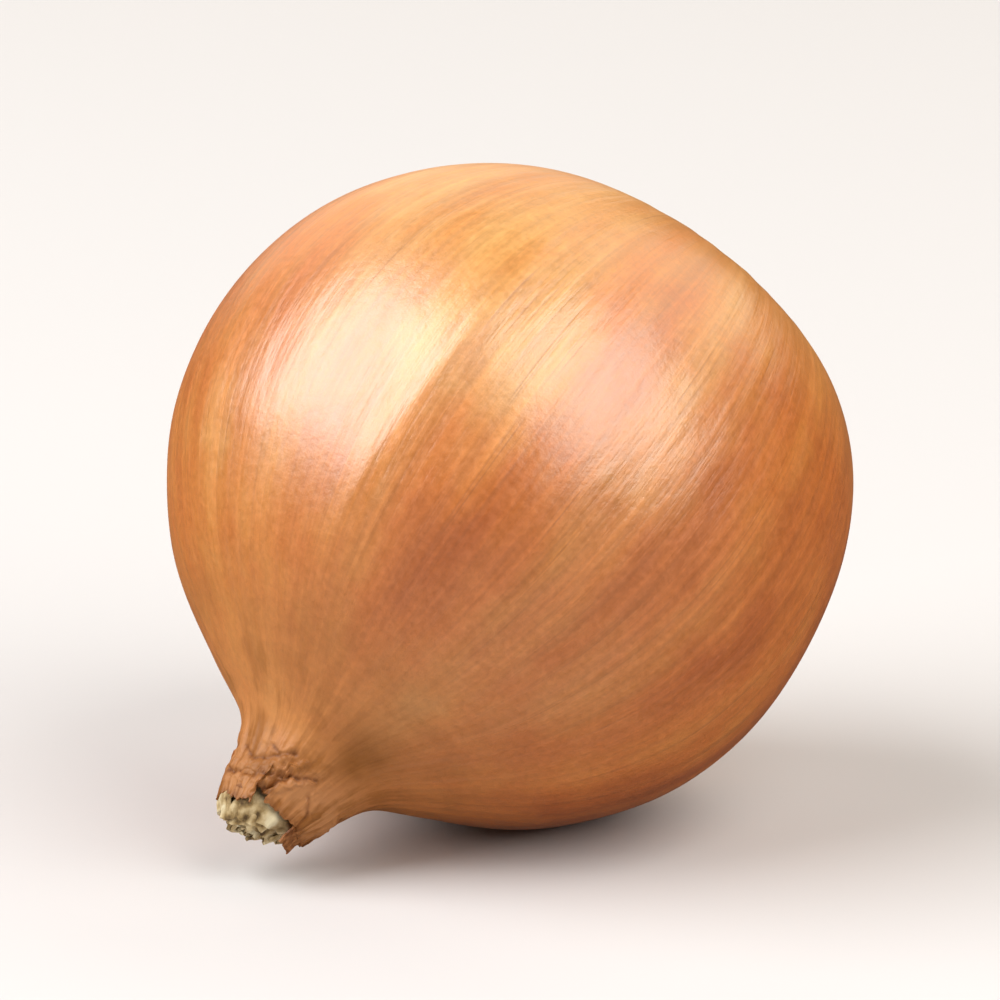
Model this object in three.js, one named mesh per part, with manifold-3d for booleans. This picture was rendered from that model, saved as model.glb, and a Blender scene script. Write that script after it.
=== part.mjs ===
// A whole yellow onion lying on its side. A round bulb in dry golden skin narrows to a short neck of
// papery leaf sheaths round a pale dried core, and dead roots fill the hollow at its other end.
// Millimetres, +Z up. The origin is the middle of the small flat spot that the onion rests on, and
// the neck points towards -X and down.

import * as THREE from "three";
import { mergeVertices } from "three/addons/utils/BufferGeometryUtils.js";
import Module from "manifold-3d";

const wasm = await Module();
wasm.setup();

// Driving dimensions. "Along" is measured on the onion's axis from the middle of the bulb, towards
// the neck; "around" is an angle round that axis, from the onion's upper side towards its front.
const BULB_RADIUS = 38;
const LIP_ALONG = -33.8; // the fold where the skin turns into the root hollow
const LIP_RADIUS = 11;
const ROOT_HOLLOW_RADIUS = 8.6;
const ROOT_HOLLOW_FLOOR = -31;
const NECK_RIM_ALONG = 45.2; // where the skin of the neck ends
const NECK_RIM_RADIUS = 5.1;
const NECK_BORE_RADIUS = 4.6;
const NECK_BORE_FLOOR = 41;
const GAP = 0.3; // between a piece and the one that it sits in

const NECK_DROP = THREE.MathUtils.degToRad(40.2); // how far the axis dips below level
const BULB_HEIGHT = 36.7; // the middle of the bulb above the surface
const REST_SPOT = { x: 2.2, y: 1.1 }; // its middle, from the point below the middle of the bulb

// The bulb isn't quite round its axis: these are the sideways shifts at its two ends.
const ROOT_SHIFT = { up: -1.75, front: 1.6, reach: 34 };
const NECK_SHIFT = { up: 0.7, front: 0.1, reach: 47 };

const ROUND_STEPS = 60;
const OUTLINE_STEPS = 30;

const SKIN = { color: 0xd08a4e, roughness: 0.42, metalness: 0 };
const DRIED_CORE = { color: 0xc9b98a, roughness: 0.85, metalness: 0 };
const DEAD_ROOT = { color: 0x4a3323, roughness: 0.95, metalness: 0 };

// The bulb's outline, [radius, along], from the lip at the root end to the rim of the neck.
const outline = new THREE.SplineCurve(
  [
    [LIP_RADIUS, LIP_ALONG],
    [0.475 * BULB_RADIUS, -32.7],
    [0.65 * BULB_RADIUS, -29.5],
    [0.807 * BULB_RADIUS, -23.6],
    [0.931 * BULB_RADIUS, -15.2],
    [0.997 * BULB_RADIUS, -5.7],
    [1.0 * BULB_RADIUS, 3.8],
    [0.935 * BULB_RADIUS, 13.3],
    [0.815 * BULB_RADIUS, 20.9],
    [0.652 * BULB_RADIUS, 27.4],
    [0.438 * BULB_RADIUS, 32.7],
    [0.25 * BULB_RADIUS, 36.9],
    [0.178 * BULB_RADIUS, 40.7],
    [NECK_RIM_RADIUS, NECK_RIM_ALONG],
  ].map(([radius, along]) => new THREE.Vector2(radius, along)),
);
const outlineLength = outline.getLength();

// A small seeded generator, so that every build draws the same onion.
function seeded(seed) {
  let state = seed;
  return (low, high) => {
    state = (state + 0x6d2b79f5) | 0;
    let t = Math.imul(state ^ (state >>> 15), 1 | state);
    t = (t + Math.imul(t ^ (t >>> 7), 61 | t)) ^ t;
    return low + (((t ^ (t >>> 14)) >>> 0) / 4294967296) * (high - low);
  };
}

const degrees = THREE.MathUtils.degToRad;
const fade = THREE.MathUtils.smoothstep;

// Shallow ribs along the bulb, each where one scale of the bulb bulges under the dry skin.
// The tall one is the crease that splits the light on the onion's upper front.
const ribs = [
  { around: 27, height: 0.85, width: 11 },
  { around: 52, height: 0.3, width: 8 },
  { around: 88, height: 0.22, width: 10 },
  { around: 121, height: 0.32, width: 9 },
  { around: 160, height: 0.24, width: 11 },
  { around: 197, height: 0.34, width: 9 },
  { around: 233, height: 0.22, width: 12 },
  { around: 268, height: 0.36, width: 9 },
  { around: 305, height: 0.24, width: 10 },
  { around: 341, height: 0.26, width: 8 },
];

function relief(around, along) {
  let height = 0.3 * Math.cos(2 * around - 0.7) + 0.22 * Math.cos(3 * around + 0.9);
  for (const rib of ribs) {
    const turn = around - degrees(rib.around) - 0.04 * Math.sin(along / 11 + rib.around);
    const off = Math.abs(Math.atan2(Math.sin(turn), Math.cos(turn)));
    height += rib.height * Math.exp(-off / degrees(rib.width));
  }
  return height * fade(along, -28, -8) * (1 - fade(along, 22, 38));
}

// How far the neck bulges on its lower side, where it is fuller than on its upper one.
function fullness(around, along) {
  const turned = 0.5 + 0.5 * Math.cos(around - degrees(160));
  return 1.05 * turned * fade(along, 32, 40) * (1 - 0.45 * fade(along, 43, 45.5));
}

// How far the neck's torn rim runs past its mean place.
function rimReach(around) {
  const torn = 0.4 * Math.sin(3 * around + 2.2) + 0.25 * Math.sin(7 * around + 1);
  return 0.5 * Math.cos(around - degrees(60)) + torn + 0.14 * Math.sin(12 * around);
}

// Puckers the skin where it gathers into the neck and into the root hollow.
function puckers(around, along) {
  const neck = 0.14 * Math.sin(5 * around + 0.12 * along) + 0.07 * Math.sin(11 * around + 0.2 * along);
  const root = 0.3 * Math.sin(19 * around);
  return neck * fade(along, 35, 41) + root * (1 - fade(along, -33.4, -30.5));
}

// Shifts a point sideways, because neither end of the bulb is quite in line with its middle. The
// neck stays straight for longer than the root end and then bends more sharply.
function lean(point) {
  const rootward = Math.max(0, -point.y / ROOT_SHIFT.reach) ** 2;
  const neckward = Math.max(0, point.y / NECK_SHIFT.reach) ** 4;
  point.x += rootward * ROOT_SHIFT.up + neckward * NECK_SHIFT.up;
  point.z += rootward * ROOT_SHIFT.front + neckward * NECK_SHIFT.front;
  return point;
}

// Takes a point of the ideal round bulb to its place on the real, uneven one.
function natural(point) {
  const around = Math.atan2(point.z, point.x);
  const radius = Math.hypot(point.x, point.z);
  const onSkin = fade(radius, 3.5, 4.9);
  const raised = relief(around, point.y) + puckers(around, point.y) + fullness(around, point.y);
  const swollen = radius + onSkin * raised;
  point.set(swollen * Math.cos(around), point.y, swollen * Math.sin(around));
  return lean(point);
}

// The same with the torn rim of the neck.
function naturalWithRim(point) {
  const rim = fade(Math.hypot(point.x, point.z), 3.9, 4.5) * fade(point.y, 41.5, NECK_RIM_ALONG);
  const placed = natural(point.clone());
  placed.y += rim * rimReach(Math.atan2(point.z, point.x));
  return placed;
}

// Moves each vertex of a geometry by a function of its position.
function reshape(geometry, place) {
  const position = geometry.getAttribute("position");
  const point = new THREE.Vector3();
  for (let i = 0; i < position.count; i++) {
    point.copy(place(point.fromBufferAttribute(position, i)));
    position.setXYZ(i, point.x, point.y, point.z);
  }
  return geometry;
}

// A closed geometry as a solid. A reshaping that mirrors leaves the faces pointing in, so they are
// turned round where the volume comes out negative.
function solidOf(geometry) {
  geometry.deleteAttribute("normal");
  geometry.deleteAttribute("uv");
  const merged = mergeVertices(geometry, 1e-4);
  const vertProperties = new Float32Array(merged.getAttribute("position").array);
  const triVerts = new Uint32Array(merged.index.array);
  const asMade = new wasm.Manifold(new wasm.Mesh({ numProp: 3, vertProperties, triVerts }));
  if (asMade.volume() > 0) return asMade;
  const turned = triVerts.map((_, i) => triVerts[i - (i % 3) + [0, 2, 1][i % 3]]);
  return new wasm.Manifold(new wasm.Mesh({ numProp: 3, vertProperties, triVerts: turned }));
}

function geometryOf(solid) {
  const mesh = solid.getMesh();
  const geometry = new THREE.BufferGeometry();
  geometry.setAttribute("position", new THREE.BufferAttribute(mesh.vertProperties, 3));
  geometry.setIndex(new THREE.BufferAttribute(mesh.triVerts, 1));
  geometry.computeVertexNormals();
  return geometry;
}

const fused = (solids) => solids.reduce((whole, solid) => whole.add(solid));

// The bulb with the hollow that holds the roots and the one that holds the neck's core.
function bulbBody() {
  const skin = Array.from({ length: OUTLINE_STEPS + 1 }, (_, i) =>
    outline.getPointAt(i / OUTLINE_STEPS),
  );
  const profile = [
    new THREE.Vector2(0, ROOT_HOLLOW_FLOOR),
    new THREE.Vector2(ROOT_HOLLOW_RADIUS, ROOT_HOLLOW_FLOOR),
    new THREE.Vector2(ROOT_HOLLOW_RADIUS + 0.4, LIP_ALONG + 0.9),
    ...skin,
    new THREE.Vector2(NECK_BORE_RADIUS, NECK_RIM_ALONG),
    new THREE.Vector2(NECK_BORE_RADIUS, NECK_BORE_FLOOR),
    new THREE.Vector2(0, NECK_BORE_FLOOR),
  ];
  return solidOf(reshape(new THREE.LatheGeometry(profile, ROUND_STEPS), naturalWithRim));
}

// A scrap of dry skin on the bulb: its underside stays sunk in the bulb and its top rises towards
// the torn end. "From" and "to" are distances over the skin from the neck's rim. They may pass it.
// "Taper" is the share of its width that it loses on the way.
function scrap({ around, spread, from, to, lift, torn, taper, sink, steps }) {
  const sheet = new THREE.BoxGeometry(1, 1, 1, steps[0], steps[1], 1);
  return solidOf(
    reshape(sheet, ({ x, y, z }) => {
      const run = y + 0.5;
      const notch = torn * Math.abs(Math.sin(9 * x + around)) * run;
      const distance = from + (to - from) * run * (1 - notch);
      const angle = degrees(around + x * spread * (1 - taper * run ** 2));
      const onBulb = THREE.MathUtils.clamp(distance, 0, outlineLength);
      const base = outline.getPointAt(1 - onBulb / outlineLength);
      const heading = outline.getTangentAt(1 - onBulb / outlineLength);
      const past = onBulb - distance;
      const height = z < 0 ? -sink : (lift + 0.1) * fade(run, 0, 0.8) - 0.1;
      const radius = base.x + heading.y * height + heading.x * past;
      const along = base.y - heading.x * height + heading.y * past;
      return natural(new THREE.Vector3(radius * Math.cos(angle), along, radius * Math.sin(angle)));
    }),
  );
}

// The torn sheaths that lie on the neck and end a little past its rim.
function neckSheaths() {
  const sheaths = [
    { around: -14, spread: 84, from: 6.0, to: -1.7, lift: 0.1, torn: 0.12 },
    { around: 94, spread: 100, from: 7.5, to: -1.2, lift: 0.2, torn: 0.1 },
    { around: 119, spread: 46, from: 3.5, to: -1.8, lift: 0.45, torn: 0.07 },
    { around: 192, spread: 92, from: 6.0, to: -0.4, lift: 0.25, torn: 0.16 },
    { around: 276, spread: 84, from: 7.0, to: -0.6, lift: 0.12, torn: 0.12 },
  ];
  return sheaths.map((sheath) => scrap({ ...sheath, taper: 0, sink: 0.25, steps: [10, 6] }));
}

// Short torn scraps of skin round the lip of the root hollow.
function rootScraps() {
  const draw = seeded(23);
  const count = 11;
  return Array.from({ length: count }, (_, i) =>
    scrap({
      around: ((i + draw(-0.2, 0.2)) * 360) / count,
      spread: draw(18, 30),
      from: outlineLength - draw(2.6, 4.6),
      to: outlineLength + draw(0, 1.3),
      lift: draw(0.35, 0.8),
      torn: draw(0.1, 0.3),
      taper: 0.55,
      sink: 0.6,
      steps: [2, 3],
    }),
  );
}

// The dried inner leaf ends: curled slivers side by side, broken off at a slant.
function neckCore() {
  const draw = seeded(37);
  const foot = NECK_BORE_FLOOR + GAP;
  const stubHeight = 4.4;
  const stubRadius = NECK_BORE_RADIUS - GAP - 0.1;
  const stub = new THREE.CylinderGeometry(stubRadius, stubRadius - 0.2, stubHeight, 24);
  stub.translate(0, foot + stubHeight / 2, 0);
  const highSide = degrees(-41);
  const rings = [
    { count: 1, radius: 0.2, width: 1.7, thickness: 1.5, top: 48.5 },
    { count: 6, radius: 1.75, width: 1.75, thickness: 1.15, top: 48.5 },
    { count: 11, radius: 3.5, width: 1.95, thickness: 1.15, top: 47.8 },
  ];
  const slivers = rings.flatMap(({ count, radius, width, thickness, top }) =>
    Array.from({ length: count }, (_, i) => {
      const turn = ((i + draw(-0.15, 0.15)) * 2 * Math.PI) / count;
      const slope = 0.21 * radius * Math.cos(turn - highSide);
      const height = top + slope + draw(-0.5, 0.4) - foot - 1;
      const slant = draw(-0.25, 0.25);
      const lift = draw(-0.01, 0.03);
      const sliver = new THREE.BoxGeometry(thickness, height, width, 1, 2, 2);
      return solidOf(
        reshape(sliver, (p) => {
          const run = p.y / height + 0.5;
          const out = radius + p.x * (1 - 0.35 * run) + lift * height * run - 0.12 * p.z * p.z;
          const side = p.z * (1 - 0.15 * run) + 0.15 * Math.sin(5 * run + 3 * i);
          const rise = foot + 1 + run * (height + slant * p.z);
          return lean(turned(out, rise, side, turn));
        }),
      );
    }),
  );
  return fused([solidOf(reshape(stub, lean)), ...slivers]);
}

// The corky root plate with its dead roots: even on all sides by the golden angle, each one a
// tapered, curled root sunk in the plate.
function rootCrown() {
  const draw = seeded(53);
  const plateRadius = ROOT_HOLLOW_RADIUS - GAP - 0.5;
  const plateFoot = ROOT_HOLLOW_FLOOR - GAP;
  const plateTop = plateFoot - 1.5;
  const plate = new THREE.LatheGeometry(
    [
      new THREE.Vector2(0, plateTop - 0.5),
      new THREE.Vector2(0.6 * plateRadius, plateTop - 0.3),
      new THREE.Vector2(0.93 * plateRadius, plateTop + 0.4),
      new THREE.Vector2(plateRadius, plateFoot - 0.4),
      new THREE.Vector2(plateRadius - 0.3, plateFoot),
      new THREE.Vector2(0, plateFoot),
    ],
    32,
  );
  const goldenAngle = Math.PI * (3 - Math.sqrt(5));
  const count = 64;
  const roots = Array.from({ length: count }, (_, i) => {
    const outward = Math.sqrt((i + 0.5) / count);
    const foot = outward * (plateRadius - 1.1);
    const length = draw(2.6, 3.9);
    const curl = draw(-1.5, 1.5);
    const spread = draw(-0.15, 0.55) * (1 - 0.75 * outward);
    const root = new THREE.CylinderGeometry(0.32, draw(0.4, 0.55), length, 3, 3);
    return solidOf(
      reshape(root, (p) => {
        const run = p.y / length + 0.5;
        const out = foot + p.x + spread * run * length;
        const side = p.z + curl * run * run;
        const rise = plateTop + 0.7 - length * run * (1 - 0.3 * run);
        return lean(turned(out, rise, side, i * goldenAngle));
      }),
    );
  });
  return fused([solidOf(reshape(plate, lean)), ...roots]);
}

// A point given by its distance out from the axis, its height along it and its offset sideways.
function turned(out, rise, side, turn) {
  const x = out * Math.cos(turn) - side * Math.sin(turn);
  const z = out * Math.sin(turn) + side * Math.cos(turn);
  return new THREE.Vector3(x, rise, z);
}

// The axis is laid along -X and dips towards the neck, with the upper side on top.
const tipped = new THREE.Group();
tipped.rotation.x = Math.PI / 2;
const onion = new THREE.Group();
onion.rotation.y = -(Math.PI / 2 + NECK_DROP);
onion.position.set(-REST_SPOT.x, -REST_SPOT.y, BULB_HEIGHT);
onion.add(tipped);
const part = new THREE.Group();
part.add(onion);
part.updateMatrixWorld(true);

// The surface that the onion rests on, seen from the onion's own frame. It flattens the skin.
function restingSurface() {
  const size = 200;
  const block = new THREE.BoxGeometry(size, size, size).translate(0, 0, -size / 2);
  return solidOf(block.applyMatrix4(tipped.matrixWorld.clone().invert()));
}

function addPiece(name, solid, finish) {
  const mesh = new THREE.Mesh(geometryOf(solid), new THREE.MeshStandardMaterial(finish));
  mesh.name = name;
  tipped.add(mesh);
}

const skinSolid = fused([bulbBody(), ...neckSheaths(), ...rootScraps()]);
addPiece("bulb", skinSolid.subtract(restingSurface()), SKIN);
addPiece("neck_core", neckCore(), DRIED_CORE);
addPiece("root_crown", rootCrown(), DEAD_ROOT);

export default part;
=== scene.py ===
# %% [markdown]
# This lesson finishes a yellow onion that lies on its side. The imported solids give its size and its
# place, and every piece here is made around them: the dry skin, the torn sheaths and the pale leaf
# ends of the neck, and the root plate with its dead roots. All lengths are written in millimetres,
# because that is how an onion is measured, and turned to Blender's metres at the last moment.

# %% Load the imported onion
import math
import random

import bpy
import numpy as np
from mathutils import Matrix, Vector


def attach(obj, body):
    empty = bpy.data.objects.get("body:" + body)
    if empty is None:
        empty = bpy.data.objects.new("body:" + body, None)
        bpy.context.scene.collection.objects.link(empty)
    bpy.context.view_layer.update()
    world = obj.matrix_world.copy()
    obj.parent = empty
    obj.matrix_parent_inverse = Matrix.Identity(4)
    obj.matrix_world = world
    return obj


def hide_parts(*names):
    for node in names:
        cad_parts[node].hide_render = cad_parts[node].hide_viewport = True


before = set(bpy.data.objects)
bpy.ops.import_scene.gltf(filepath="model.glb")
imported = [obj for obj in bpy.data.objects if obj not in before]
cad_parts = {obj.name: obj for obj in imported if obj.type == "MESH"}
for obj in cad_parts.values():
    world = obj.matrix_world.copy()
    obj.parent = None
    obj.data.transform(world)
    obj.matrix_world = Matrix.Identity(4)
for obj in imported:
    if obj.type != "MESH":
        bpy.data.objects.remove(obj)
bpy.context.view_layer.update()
bpy.ops.object.select_all(action="DESELECT")
print("solids:", sorted(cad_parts))

# %% [markdown]
# An onion is nearly round about one axis, so each point is easiest to give by three numbers: how
# far along the axis it is from the middle of the bulb, how far out from the axis, and how far round
# from the upper side towards the front. These numbers also drive the pattern of the skin later.

# %% The onion's own directions
MM = 0.001
BULB_RADIUS = 38.0
NECK_DROP = math.radians(40.2)
BULB_MIDDLE = np.array([-2.2, -1.1, 36.7])
NECKWARD = np.array([-math.cos(NECK_DROP), 0.0, -math.sin(NECK_DROP)])
UPPER = np.array([-math.sin(NECK_DROP), 0.0, math.cos(NECK_DROP)])
FRONT = np.array([0.0, -1.0, 0.0])
LEAN_AT_ROOT = {"upper": -1.75, "front": 1.6, "reach": 34.0}
LEAN_AT_NECK = {"upper": 0.7, "front": 0.1, "reach": 47.0}


def placed(out, around, along):
    """Points in metres, from distances in millimetres and an angle in radians."""
    rootward = np.clip(-along / LEAN_AT_ROOT["reach"], 0, None) ** 2
    neckward = np.clip(along / LEAN_AT_NECK["reach"], 0, None) ** 4
    upper = out * np.cos(around)
    upper = upper + rootward * LEAN_AT_ROOT["upper"] + neckward * LEAN_AT_NECK["upper"]
    front = out * np.sin(around)
    front = front + rootward * LEAN_AT_ROOT["front"] + neckward * LEAN_AT_NECK["front"]
    points = BULB_MIDDLE + np.multiply.outer(along, NECKWARD)
    points = points + np.multiply.outer(upper, UPPER) + np.multiply.outer(front, FRONT)
    points[..., 2] = np.maximum(points[..., 2], 0.0)
    return points * MM


def fade(value, low, high):
    """Rises smoothly from 0 at low to 1 at high."""
    t = np.clip((value - low) / (high - low), 0, 1)
    return t * t * (3 - 2 * t)


print("neck points to", NECKWARD.round(3))

# %% [markdown]
# The outline runs from the lip of the root hollow, over the bulb, to the rim of the neck. A few
# points on it are enough, because a smooth curve fills in the rest. The curve is walked by its true
# length, so that a scrap of skin can later be laid a given distance from either end.

# %% The outline from lip to neck
OUTLINE = [
    (11.0, -33.8),
    (0.475 * BULB_RADIUS, -32.7),
    (0.65 * BULB_RADIUS, -29.5),
    (0.807 * BULB_RADIUS, -23.6),
    (0.931 * BULB_RADIUS, -15.2),
    (0.997 * BULB_RADIUS, -5.7),
    (1.0 * BULB_RADIUS, 3.8),
    (0.935 * BULB_RADIUS, 13.3),
    (0.815 * BULB_RADIUS, 20.9),
    (0.652 * BULB_RADIUS, 27.4),
    (0.438 * BULB_RADIUS, 32.7),
    (0.25 * BULB_RADIUS, 36.9),
    (0.178 * BULB_RADIUS, 40.7),
    (5.1, 45.2),
]


def smooth_through(points, steps_between=40):
    """A curve through the points whose slope at each one follows its two neighbours."""
    knots = np.array([points[0], *points, points[-1]], dtype=float)
    t = np.linspace(0, 1, steps_between, endpoint=False)[:, None]
    pieces = []
    for before, start, end, after in zip(knots, knots[1:], knots[2:], knots[3:]):
        leaving, arriving = (end - before) / 2, (after - start) / 2
        cubic = 2 * (start - end) + leaving + arriving
        square = 3 * (end - start) - 2 * leaving - arriving
        pieces.append(start + t * leaving + t**2 * square + t**3 * cubic)
    return np.vstack([*pieces, knots[-1:]])


curve = smooth_through(OUTLINE)
curve_length = np.concatenate([[0], np.cumsum(np.linalg.norm(np.diff(curve, axis=0), axis=1))])
SKIN_LENGTH = float(curve_length[-1])
HEADING_STEP = 0.2


def point_at(distance):
    """The place, [out, along], at a distance over the skin from the lip."""
    return np.stack([np.interp(distance, curve_length, curve[:, k]) for k in (0, 1)], -1)


def on_outline(distance):
    """The place and the heading at a distance from the lip. Past an end it goes straight on."""
    held = np.clip(distance, 0, SKIN_LENGTH)
    behind = point_at(np.clip(held - HEADING_STEP, 0, None))
    ahead = point_at(np.clip(held + HEADING_STEP, None, SKIN_LENGTH))
    heading = ahead - behind
    heading = heading / np.linalg.norm(heading, axis=-1, keepdims=True)
    return point_at(held) + heading * (distance - held)[..., None], heading


print("skin from lip to neck:", round(SKIN_LENGTH, 1), "mm")

# %% [markdown]
# A real bulb isn't round. Each fleshy scale under the skin bulges a little, and the dry skin follows
# with shallow ribs. One rib on the upper front is tall enough to cut the light in two. Near both
# ends the skin is gathered into finer and finer puckers. The heights are all about a millimetre or
# less, but on a glossy surface the eye reads them at once. Ribs turn about the axis in degrees,
# and each wave below has its height in millimetres and its count round the axis.

# %% Ribs and puckers
RIBS = [
    {"around": 27, "height": 0.85, "width": 11},
    {"around": 52, "height": 0.3, "width": 8},
    {"around": 88, "height": 0.22, "width": 10},
    {"around": 121, "height": 0.32, "width": 9},
    {"around": 160, "height": 0.24, "width": 11},
    {"around": 197, "height": 0.34, "width": 9},
    {"around": 233, "height": 0.22, "width": 12},
    {"around": 268, "height": 0.36, "width": 9},
    {"around": 305, "height": 0.24, "width": 10},
    {"around": 341, "height": 0.26, "width": 8},
]


def ribs(around, along):
    """The ribs, on a bulb that is also a little oval. They wander, and fade out near both ends."""
    height = 0.3 * np.cos(2 * around - 0.7) + 0.22 * np.cos(3 * around + 0.9)
    for rib in RIBS:
        turn = around - math.radians(rib["around"]) - 0.04 * np.sin(along / 11 + rib["around"])
        off = np.abs(np.arctan2(np.sin(turn), np.cos(turn)))
        height = height + rib["height"] * np.exp(-off / math.radians(rib["width"]))
    return height * fade(along, -28, -8) * (1 - fade(along, 22, 38))


def puckers(around, along):
    """Folds of the gathered skin, regular on the neck and ragged round the roots."""
    neck = 0.14 * np.sin(5 * around + 0.12 * along) + 0.07 * np.sin(11 * around + 0.2 * along)
    neck = neck + 0.04 * np.sin(23 * around + 0.3 * along) + 0.03 * np.sin(41 * around + 1)
    root = 0.14 * np.sin(19 * around + 1.3 * np.sin(3 * around))
    root = root + 0.08 * np.sin(47 * around + 0.4 * along)
    root = root + 0.16 * np.sin(8 * around + 2 * np.sin(2 * around + 1))
    root = root + 0.1 * np.sin(29 * around + 2)
    return neck * fade(along, 35, 41) + root * (1 - fade(along, -33.4, -30.5))


def unevenness(around, along):
    """Slow swells a finger wide, and a neck that is fuller on its lower side."""
    swell = np.sin(5 * around + along / 9) * np.sin(along / 13 + 2)
    swell = swell + 0.6 * np.sin(8 * around - along / 15 + 1.3) * np.sin(along / 7)
    fullness = 0.5 + 0.5 * np.cos(around - math.radians(160))
    fullness = 1.05 * fullness * fade(along, 32, 40) * (1 - 0.45 * fade(along, 43, 45.5))
    return 0.09 * swell * fade(along, -31, -22) * (1 - fade(along, 24, 34)) + fullness


def relief(around, along):
    """Everything that lifts the skin off the round outline, in millimetres."""
    return ribs(around, along) + puckers(around, along) + unevenness(around, along)


print("tallest rib:", max(rib["height"] for rib in RIBS), "mm")

# %% [markdown]
# The neck has dried so hard that it has wrinkled across and cracked. Each crease is a line on the
# skin, given by angles in degrees and distances along in millimetres. The skin sinks along the
# line, bulges on both sides of it, and is painted dark brown in it: partly the stain of the dried
# fold and partly painted shade, darker in deeper creases.

# %% Creases of the neck
CREASES = [
    {"line": [(-18, 41.5), (2, 42.3), (22, 41.9), (42, 40.3)], "depth": 0.13, "width": 0.29},
    {"line": [(-30, 44.2), (8, 44.4), (30, 43.3), (48, 42.3), (70, 40.8)], "depth": 0.2, "width": 0.3},
    {"line": [(49, 42.2), (41, 43.6), (33, 45.4)], "depth": 0.42, "width": 0.32},
    {"line": [(16, 40.4), (27, 40.9)], "depth": 0.07, "width": 0.2},
    {"line": [(80, 42.9), (90, 44.0), (97, 46.2)], "depth": 0.12, "width": 0.2},
    {"line": [(128, 41.0), (150, 42.4), (176, 42.0)], "depth": 0.16, "width": 0.29},
    {"line": [(205, 43.6), (232, 42.2), (262, 42.8)], "depth": 0.18, "width": 0.29},
    {"line": [(236, 41.8), (226, 44.0), (229, 45.8)], "depth": 0.35, "width": 0.32},
    {"line": [(286, 40.6), (305, 41.8), (322, 41.2)], "depth": 0.14, "width": 0.29},
]
NECK_RADIUS = 5.6
LEAST_STAIN_AND_SHADE = 0.62


def creases(around, along):
    """The height of the skin near the creases, and its stain and painted shade there, from 0 to 1."""
    height, stain_and_shade = np.zeros_like(along), np.zeros_like(along)
    for crease in CREASES:
        points = [(NECK_RADIUS * math.radians(turn), place) for turn, place in crease["line"]]
        points = np.array(points)
        middle = points[:, 0].mean() / NECK_RADIUS
        turned = middle + np.arctan2(np.sin(around - middle), np.cos(around - middle))
        jag = 0.14 * np.sin(7 * turned + 1.3 * along) + 0.06 * np.sin(17 * turned - 3 * along)
        here = np.stack([NECK_RADIUS * turned + jag, along + jag], -1)
        nearest = np.full(along.shape, 1e9)
        for start, end in zip(points, points[1:]):
            step = end - start
            run = np.clip(((here - start) @ step) / (step @ step), 0, 1)
            away = np.linalg.norm(here - start - run[..., None] * step, axis=-1)
            nearest = np.minimum(nearest, away)
        ragged = 1 + 0.3 * np.sin(23 * turned + 2 * along) + 0.25 * np.sin(9 * turned - 5 * along + 1)
        off = nearest / (crease["width"] * ragged)
        groove, banks = np.exp(-(off**2)), np.exp(-(((off - 2.6) / 1.3) ** 2))
        height = height + crease["depth"] * (0.5 * banks - groove)
        # Deeper creases are painted darker: the stain of the dried fold and painted shade in the
        # groove.
        stain_and_shade = np.maximum(stain_and_shade, min(1, LEAST_STAIN_AND_SHADE + crease["depth"]) * groove)
    return height, stain_and_shade


print(len(CREASES), "creases")

# %% [markdown]
# Besides the random mottling there are patches of colour: an olive-brown patch at the foot of the
# neck, and patches of tone, several of which paint light and shade. The russet band next to the
# tall rib is deepened with painted shade, where the rib turns the skin from the light. The golden
# field on its other side is the skin's own gold, made paler where it paints the left highlight.
# Painted light also lightens the skin between the two highlights, on the front towards the neck,
# and on top towards the roots as a painted sheen. Each one is a soft spot with its place in degrees
# and millimetres and its own size. A positive tone_and_light is more golden and a negative one more
# russet. The patches are stored with the creases, in an attribute of three numbers named marks.

# %% Patches of colour
TONE_AND_LIGHT_PATCHES = [
    # Painted shade deepens the russet band beside the tall rib, where the skin turns from the light.
    {"around": 44, "along": 19, "wide": 15, "long": 12, "tone_and_light": -0.2},
    # Painted light between the two highlights.
    {"around": 36, "along": 1, "wide": 9, "long": 9, "tone_and_light": 0.1},
    {"around": 62, "along": -3, "wide": 16, "long": 12, "tone_and_light": 0.04},
    # The skin's own gold, made paler as a painted highlight under the left highlight.
    {"around": 10, "along": -2, "wide": 20, "long": 20, "tone_and_light": 0.1},
    {"around": -38, "along": 10, "wide": 24, "long": 18, "tone_and_light": -0.08},
    {"around": 8, "along": 27, "wide": 18, "long": 6, "tone_and_light": -0.07},
    {"around": 112, "along": 28, "wide": 30, "long": 10, "tone_and_light": -0.1},
    {"around": 150, "along": 6, "wide": 26, "long": 20, "tone_and_light": -0.1},
    {"around": 205, "along": -4, "wide": 30, "long": 22, "tone_and_light": 0.05},
    {"around": 275, "along": 6, "wide": 20, "long": 20, "tone_and_light": -0.05},
    # A painted sheen on top, towards the roots.
    {"around": 3, "along": -18, "wide": 25, "long": 15, "tone_and_light": 0.17},
    {"around": 44, "along": -10, "wide": 14, "long": 9, "tone_and_light": -0.09},
    # Painted light on the front, towards the neck.
    {"around": 92, "along": 20, "wide": 14, "long": 9, "tone_and_light": 0.13},
    {"around": -18, "along": -9, "wide": 10, "long": 9, "tone_and_light": -0.08},
    {"around": -28, "along": 26, "wide": 12, "long": 6, "tone_and_light": -0.05},
    {"around": 67, "along": 31.5, "wide": 16, "long": 4, "tone_and_light": 0.09},
]
OLIVE_PATCHES = [
    {"around": 80, "along": 36.6, "wide": 22, "long": 3.0},
    {"around": 20, "along": 43.0, "wide": 22, "long": 1.3},
    {"around": 168, "along": 38.0, "wide": 26, "long": 3.2},
    {"around": 262, "along": 40.0, "wide": 20, "long": 2.4},
]


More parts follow.
